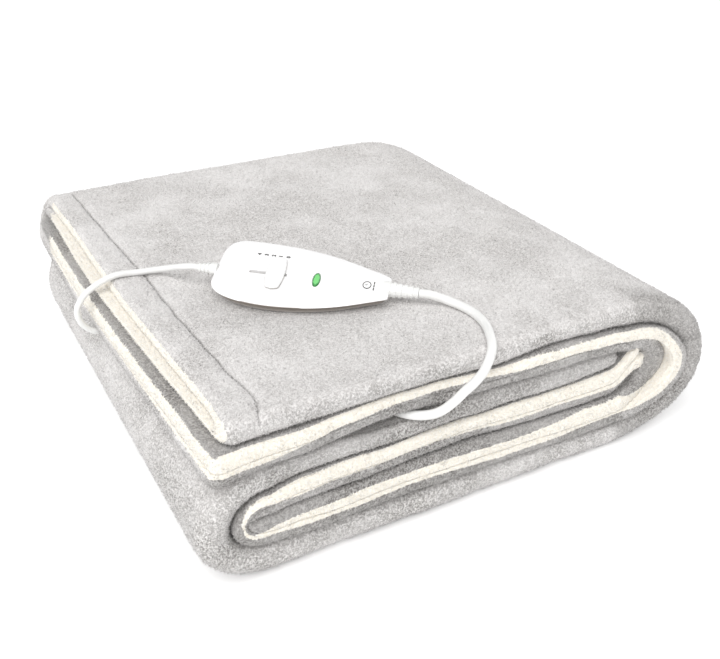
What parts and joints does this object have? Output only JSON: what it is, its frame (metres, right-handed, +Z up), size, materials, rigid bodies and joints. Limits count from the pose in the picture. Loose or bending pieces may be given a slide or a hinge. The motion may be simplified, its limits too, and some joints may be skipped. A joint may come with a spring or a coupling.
{
  "type": "electric heated blanket",
  "caption": "Heated throw, folded and rolled flat for storage, with a slider hand control on its cord and a mains lead to a flat plug.",
  "frame": {"origin": "middle of the folded blanket's underside, where it rests", "axes": "+Z up from the surface it lies on, -Y towards the front with the closed fold and the hems, +X towards the wide turn of the roll"},
  "size_m": [0.4705, 0.6466, 0.1662],
  "materials": {
    "plush": "short grey plush outside, cream plush inside",
    "control_white": "glossy white",
    "cord_white": "smooth white cord sheath",
    "lamp_green": "translucent green window",
    "pin_metal": "nickel-plated"
  },
  "bodies": {
    "set": {"blanket": "plush", "shell_upper": "control_white", "shell_lower": "control_white", "lamp_window": "lamp_green", "relief_lead": "cord_white", "relief_mains": "cord_white", "lead_cord": "cord_white", "mains_cord": "cord_white", "mains_coil": "cord_white", "mains_tail": "cord_white", "plug_relief": "cord_white", "plug_body": "cord_white", "plug_pin_1": "pin_metal", "plug_pin_2": "pin_metal"},
    "slider": {"slider_knob": "control_white"}
  },
  "joints": [
    {"name": "heat_slide", "type": "slide", "parent": "set", "child": "slider", "axis": [0.7803, -0.6245, -0.0344], "range_m": [-0.0174, 0.0058]}
  ]
}
